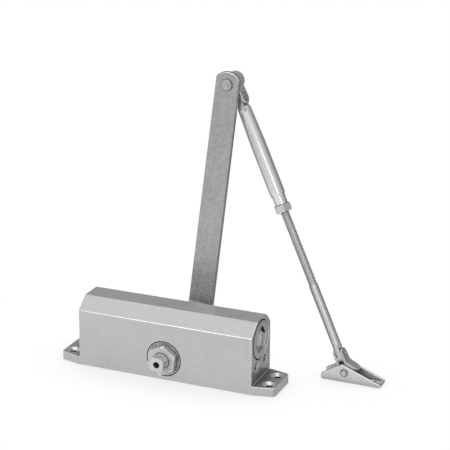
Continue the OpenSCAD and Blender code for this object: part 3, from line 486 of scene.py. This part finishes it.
for node, piece in NODES.items():
    piece.data.materials.clear()
    piece.data.materials.append(MATERIALS[SLOT_OF[node]])


# Pieces finished from the CAD shapes ------------------------------------------------------------

OWN, RUBBED_AND_SHEEN, EXTRA = 0, 1, 2       # a piece's finishes: its own, its worn edges with a painted sheen, then any more
TO_FRONT = (0, -1, 0)
CUT_NEAR = 0.001 * MM              # how near two corners count as one where a shape is cut
WELD = 0.002 * MM                  # the same where loose triangles are joined
LEVEL = 0.01 * MM                  # how near a corner of the CAD shape lies to its nominal place
NEAR = 0.05 * MM                   # the same for places worked out from several sizes
RIM_BAND = 0.1 * MM                # how near to the outer edge of a round piece its rim starts
FLAT_ANGLE = math.radians(0.4)     # under this, two faces are one flat area
SHARP_ANGLE = math.radians(28)     # over this, an edge is eased
SQUARE_ON = 0.999                  # the cosine over which a face counts as facing a direction
HOLLOW_STEPS = ((0.25, 0.55), (0.3, 0.35), (0.25, 0.1))    # shares of a hollow's radius and depth


def whole_shape(node):
    """The CAD shape with its loose triangles joined and its flat areas made whole."""
    bm = bmesh.new()
    bm.from_mesh(NODES[node].data)
    bmesh.ops.remove_doubles(bm, verts=bm.verts, dist=WELD)
    bmesh.ops.dissolve_limit(bm, angle_limit=FLAT_ANGLE, use_dissolve_boundaries=False,
                             verts=bm.verts, edges=bm.edges, delimit=set())
    return bm


def middle(edge):
    return (edge.verts[0].co + edge.verts[1].co) / 2


def ease(bm, width, segments=2, where=None, wear_and_sheen=None, finish=RUBBED_AND_SHEEN):
    """Rounds the sharp outer edges, or the sharp ones that where picks.

    The new faces, or those of them that wear_and_sheen picks, get the finish.
    """
    edges = [e for e in bm.edges if len(e.link_faces) == 2
             and e.calc_face_angle(0.0) > SHARP_ANGLE and (where(e) if where else e.is_convex)]
    made = bmesh.ops.bevel(bm, geom=edges, offset=width, offset_type="OFFSET", affect="EDGES",
                           segments=segments, profile=0.5, material=-1, clamp_overlap=False)
    for face in made["faces"]:
        if wear_and_sheen is None or wear_and_sheen(face):
            face.material_index = finish


def dimple(bm, direction, radius, depth):
    """A shallow round hollow in the middle of the flat end that faces a direction; its inside gets the bright worn
    finish with a painted sheen.
    """
    direction = Vector(direction)
    ends = [f for f in bm.faces if f.normal.dot(direction) > SQUARE_ON]
    face = max(ends, key=lambda f: f.calc_center_median().dot(direction))
    reach = max((v.co - face.calc_center_median()).length for v in face.verts)
    bmesh.ops.inset_individual(bm, faces=[face], thickness=reach - radius, use_even_offset=True)
    face.material_index = RUBBED_AND_SHEEN
    for share, fall in HOLLOW_STEPS:
        bmesh.ops.inset_individual(bm, faces=[face], thickness=radius * share,
                                   depth=-depth * fall, use_even_offset=True)


def local_frame(origin, x_axis, z_axis):
    """The turn and shift that take a shape made about the z axis to its place on the object."""
    z = Vector(z_axis).normalized()
    x = (Vector(x_axis) - z * Vector(x_axis).dot(z)).normalized()
    turn = Matrix((x, z.cross(x), z)).transposed().to_4x4()
    return Matrix.Translation(Vector(origin)) @ turn


def thread_ridge(root_r, crest_r, pitch, shares):
    """The outline of a thread's ridge. The shares of the pitch say where its four corners lie."""
    radii = (root_r, crest_r, crest_r, root_r)
    return [(radius, share * pitch) for radius, share in zip(radii, shares)]


def add_wound(bm, profile, pitch, turns, steps, start, place, finish=OWN):
    """Winds a closed outline of (radius, along) points up a helix about the local z axis.

    A turn has the given number of steps, and both ends are closed.
    """
    wound = bmesh.new()
    verts = [wound.verts.new((r, 0, start + along)) for r, along in profile]
    edges = [wound.edges.new((a, b)) for a, b in zip(verts, verts[1:] + verts[:1])]
    bmesh.ops.spin(wound, geom=verts + edges, cent=(0, 0, 0), axis=(0, 0, 1),
                   dvec=(0, 0, pitch / steps), angle=math.tau * turns,
                   steps=round(steps * turns), use_duplicate=False)
    bmesh.ops.holes_fill(wound, edges=[e for e in wound.edges if e.is_boundary], sides=0)
    bmesh.ops.recalc_face_normals(wound, faces=wound.faces)
    bmesh.ops.transform(wound, matrix=place, verts=wound.verts)
    for face in wound.faces:
        face.material_index = finish
    ridge = bpy.data.meshes.new("wound")
    wound.to_mesh(ridge)
    wound.free()
    bm.from_mesh(ridge)
    bpy.data.meshes.remove(ridge)


def finish_piece(name, bm, node, more=(), smooth_angle=38):
    """Makes the piece that stands for a node: its own finish, the worn edges with a painted sheen, then any more.
    """
    mesh = bpy.data.meshes.new(name)
    bm.to_mesh(mesh)
    bm.free()
    piece = bpy.data.objects.new(name, mesh)
    bpy.context.scene.collection.objects.link(piece)
    mesh.shade_smooth()
    mesh.set_sharp_from_angle(angle=math.radians(smooth_angle))
    even = piece.modifiers.new("even_faces", "WEIGHTED_NORMAL")
    even.keep_sharp = True
    main = FINISHES.get(node, MATERIALS[SLOT_OF[node]])
    for material in (main, main if SLOT_OF[node] in BARE else RUBBED_EDGE_AND_SHEEN, *more):
        mesh.materials.append(material)
    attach(piece, BODY_OF[node])
    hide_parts(node)
    return piece


def make_body_shell():
    """The cast body: a fillet at each foot's root, worn edges with a painted sheen, a painted highlight along the
    chamfer's crease, machined seats, and valve mouths with painted shade on their floors and a painted highlight
    on their walls.
    """
    foot_top, chamfer_from = 7.8 * MM, 45 * MM
    mouth_depth, mouth_r = 1.3 * MM, 4 * MM
    fillet, edge_width = 0.5 * MM, 0.5 * MM
    seat, dark, cut = EXTRA, EXTRA + 1, EXTRA + 2
    bm = whole_shape("body_casting")
    end_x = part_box("end_plug_right")[1].x
    mouths = [(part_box(node)[0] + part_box(node)[1]) / 2
              for node in ("closing_speed_valve", "latching_speed_valve")]

    def at_foot_root(e):
        place = middle(e)
        along_y = abs(e.verts[0].co.y - e.verts[1].co.y) > 1 * MM
        return along_y and abs(abs(place.x) - end_x) < NEAR and abs(place.z - foot_top) < NEAR

    def in_mouth(place):
        return place.x > end_x - mouth_depth and any(
            math.hypot(place.y - m.y, place.z - m.z) < mouth_r for m in mouths)

    def in_screw_seat(place, normal):
        slanted = 0.3 < normal.z < 0.95
        return slanted and abs(place.x) > end_x and place.z < foot_top

    # painted highlight: the crease between the front and the chamfer is picked for the bright finish, as a
    # highlight line
    def at_chamfer_crease(place, normal):
        faces_front = abs(normal.x) < 0.05 and normal.y < -0.3
        between_flats = 0.08 < normal.z < 0.74
        return faces_front and between_flats and place.z > chamfer_from

    for face in bm.faces:
        place, normal = face.calc_center_median(), face.normal
        if in_screw_seat(place, normal):
            face.material_index = seat
        # painted light in the valve mouths: near-black shade on the floors, a near-white highlight on the walls
        elif in_mouth(place):
            faces_along = abs(normal.x) > 0.5
            face.material_index = dark if faces_along else cut
        elif at_chamfer_crease(place, normal):
            face.material_index = RUBBED_AND_SHEEN
    ease(bm, fillet, where=at_foot_root)
    ease(bm, edge_width, wear_and_sheen=lambda f: not in_mouth(f.calc_center_median()))
    finish_piece("body_shell", bm, "body_casting", (MACHINED_AND_LIT_WALL, SHADE_BLACK, HIGHLIGHT_WALL))


def make_spindle():
    """The pinion shaft with eased edges and a real thread in the hole of its front end, the hole and thread
    painted near-black as shade.
    """
    hole_r, pitch, turns, steps = 2.75 * MM, 1.0 * MM, 11, 20
    thread_depth, thread_from = 0.3 * MM, 0.8 * MM
    bm = whole_shape("pinion")
    low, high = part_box("pinion")
    axis_z = (low.z + high.z) / 2
    # painted shade: the walls of the hole get the near-black finish
    for face in bm.faces:
        if all(math.hypot(v.co.x, v.co.z - axis_z) < hole_r + NEAR for v in face.verts):
            face.material_index = EXTRA
    ease(bm, 0.2 * MM)
    ridge = thread_ridge(hole_r + NEAR, hole_r - thread_depth, pitch, (0.1, 0.42, 0.54, 0.9))
    front = local_frame((0, low.y, axis_z), (1, 0, 0), (0, 1, 0))
    add_wound(bm, ridge, pitch, turns, steps, thread_from, front, finish=EXTRA)
    finish_piece("pinion_finished", bm, "pinion", (SHADE_BLACK,))


def make_threaded_rod():
    """The adjusting rod: a real thread on its upper part, then the smooth part and the eye."""
    thread_from, thread_to = 39.6 * MM, 167.0 * MM
    major, minor, pitch, steps = 3.7 * MM, 3.15 * MM, 1.9 * MM, 24
    core_lap, ridge_lap, ridge_in, more_turns = 0.5 * MM, 0.1 * MM, 0.6 * MM, 0.5
    along = Vector(JOINTS["rod_adjust"]["axis"])
    pivot = Vector(JOINTS["forearm_tilt"]["pos_m"])
    place = local_frame(pivot, JOINTS["forearm_tilt"]["axis"], along)
    bm = whole_shape("threaded_rod")
    cut = pivot + along * thread_to
    bmesh.ops.bisect_plane(bm, geom=bm.verts[:] + bm.edges[:] + bm.faces[:], plane_co=cut,
                           plane_no=along, dist=CUT_NEAR, clear_inner=True)
    bmesh.ops.holes_fill(bm, edges=[e for e in bm.edges if e.is_boundary], sides=0)
    ease(bm, 0.25 * MM)
    reach = thread_to - thread_from
    core = place @ Matrix.Translation((0, 0, (thread_from + thread_to) / 2 + core_lap))
    bmesh.ops.create_cone(bm, cap_ends=True, segments=48, radius1=minor, radius2=minor,
                          depth=reach, matrix=core)
    ridge = thread_ridge(minor - ridge_lap, major, pitch, (0.06, 0.44, 0.58, 0.96))
    turns = reach / pitch + more_turns
    add_wound(bm, ridge, pitch, turns, steps, thread_from + ridge_in, place)
    finish_piece("threaded_rod_finished", bm, "threaded_rod", smooth_angle=50)


def make_closing_spring():
    """The closing spring: a coil of round wire wound along the x axis where the CAD spring lies."""
    wire_r, turns, wire_sides, steps = 1.9 * MM, 5.5, 12, 48
    bm = bmesh.new()
    low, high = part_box("closing_spring")
    coil_r = (high.y - low.y) / 2 - wire_r
    ring = [(coil_r + wire_r * math.cos(math.tau * i / wire_sides),
             wire_r * math.sin(math.tau * i / wire_sides)) for i in range(wire_sides)]
    reach = high.x - low.x
    place = local_frame((low.x, 0, (low.z + high.z) / 2), (0, 1, 0), (1, 0, 0))
    add_wound(bm, ring, (reach - 2 * wire_r) / turns, turns, steps, wire_r, place)
    spring = finish_piece("closing_spring_finished", bm, "closing_spring")
    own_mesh(spring)


def make_plug(node, side):
    """An end plug: a near-black line of painted shade round its rim, and a socket with worn edges, whose upright
    walls are painted light and whose hanging walls are painted shade.
    """
    socket_depth, socket_margin = 4.6 * MM, 2 * MM
    dark, lit_wall = EXTRA, EXTRA + 1
    bm = whole_shape(node)
    low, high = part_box(node)
    end_x, middle_z, rim_r = max(high.x, -low.x), (low.z + high.z) / 2, (high.z - low.z) / 2
    floor_x = end_x - socket_depth

    def off_axis(point):
        return math.hypot(point.y, point.z - middle_z)

    def level_with(edge, x):
        return all(abs(v.co.x * side - x) < LEVEL for v in edge.verts)

    def at_rim(e):
        return level_with(e, end_x) and all(off_axis(v.co) > rim_r - RIM_BAND for v in e.verts)

    def at_socket(e):
        inside = all(off_axis(v.co) < rim_r - socket_margin for v in e.verts)
        return inside and (level_with(e, end_x) or level_with(e, floor_x))

    def is_socket_wall(face):
        place = face.calc_center_median()
        return (abs(face.normal.x) < 0.1 and floor_x < place.x * side < end_x
                and off_axis(place) < rim_r - socket_margin)

    # painted light and shade by facing: upright socket walls get the light finish, hanging walls the near-black
    # one
    for face in bm.faces:
        if is_socket_wall(face):
            upright, hanging = abs(face.normal.y) > 0.9, face.normal.z < 0
            face.material_index = lit_wall if upright else dark if hanging else OWN
    ease(bm, 0.4 * MM, where=at_socket)
    # painted shade: a near-black line round the rim
    ease(bm, 1.0 * MM, where=at_rim, finish=dark)
    finish_piece(node + "_finished", bm, node, (SHADE_BLACK, MACHINED_AND_LIT_WALL))


def make_cap(node, side):
    """A bearing cap: a near-black line of painted shade round its flange, and worn edges on its hexagon."""
    flange_from = 20 * MM
    bm = whole_shape(node)
    low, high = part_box(node)
    middle_z, rim_r = (low.z + high.z) / 2, (high.z - low.z) / 2

    def at_rim(shape):
        return all(math.hypot(v.co.x, v.co.z - middle_z) > rim_r - RIM_BAND
                   and v.co.y * side > flange_from for v in shape.verts)

    ease(bm, 0.2 * MM, where=lambda e: e.is_convex and not at_rim(e))
    # painted shade: the rim and its eased edge get the near-black finish
    ease(bm, 0.45 * MM, where=at_rim, finish=EXTRA)
    for face in bm.faces:
        if at_rim(face):
            face.material_index = EXTRA
    finish_piece(node + "_finished", bm, node, (SHADE_BLACK,))


def make_valve(node):
    """A speed valve: its slotted end is dished on both sides of the slot, and the dishes are painted dark as
    shade.
    """
    dish = 0.9 * MM
    bm = whole_shape(node)
    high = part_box(node)[1]
    ease(bm, 0.15 * MM)
    ends = [f for f in bm.faces
            if f.normal.x > SQUARE_ON and abs(f.calc_center_median().x - high.x) < LEVEL]
    bowls = bmesh.ops.poke(bm, faces=ends)
    for vert in bowls["verts"]:
        vert.co.x -= dish
    # painted shade: the dishes get the dark steel of the spring
    for face in bowls["faces"]:
        face.material_index = EXTRA
    finish_piece(node + "_finished", bm, node, (MATERIALS["spring_steel"],))


def make_simple(node, width, hollow=None, finish=RUBBED_AND_SHEEN):
    """A piece with eased edges (mm), and with a hollow in one end: direction, radius, depth. With the finish
    EXTRA, its eased edges are painted near-black as shade.
    """
    bm = whole_shape(node)
    ease(bm, width * MM, finish=finish)
    if hollow:
        direction, radius, depth = hollow
        dimple(bm, direction, radius * MM, depth * MM)
    finish_piece(node + "_finished", bm, node, (SHADE_BLACK,) if finish == EXTRA else ())


def make_main_arm():
    """The main arm: rounded edges, of which only those that face up get the bright worn finish, a painted
    highlight from above.
    """
    bm = whole_shape("main_arm")
    # painted highlight: the bright finish goes only on rounded faces that face up
    ease(bm, 0.9 * MM, segments=3, wear_and_sheen=lambda f: f.normal.z > 0.3)
    finish_piece("main_arm_finished", bm, "main_arm")


make_body_shell()
make_spindle()
make_threaded_rod()
make_closing_spring()
make_plug("end_plug_right", 1)
make_plug("end_plug_left", -1)
make_cap("bearing_cap_front", -1)
make_cap("bearing_cap_back", 1)
make_valve("closing_speed_valve")
make_valve("latching_speed_valve")
make_simple("arm_washer", 0.2)
make_simple("arm_screw", 0.25)
make_simple("elbow_pin", 0.25, hollow=(TO_FRONT, 2.6, 0.5))
make_simple("elbow_washer", 0.12)
make_simple("elbow_knuckle", 0.4)
# the pins and the rivet: eased edges of painted shade
make_simple("cross_pin", 0.35, hollow=(JOINTS["forearm_tilt"]["axis"], 1.6, 0.4), finish=EXTRA)
make_simple("forearm_tube", 0.15)
make_simple("lock_nut", 0.25)
make_simple("swivel_block", 0.3)
make_simple("eye_pin", 0.3, hollow=(JOINTS["fork_pivot"]["axis"], 1.1, 0.3), finish=EXTRA)
make_simple("shoe_bracket", 0.55)
make_simple("shoe_rivet", 0.4, hollow=(TO_FRONT, 1.7, 0.6), finish=EXTRA)
make_main_arm()
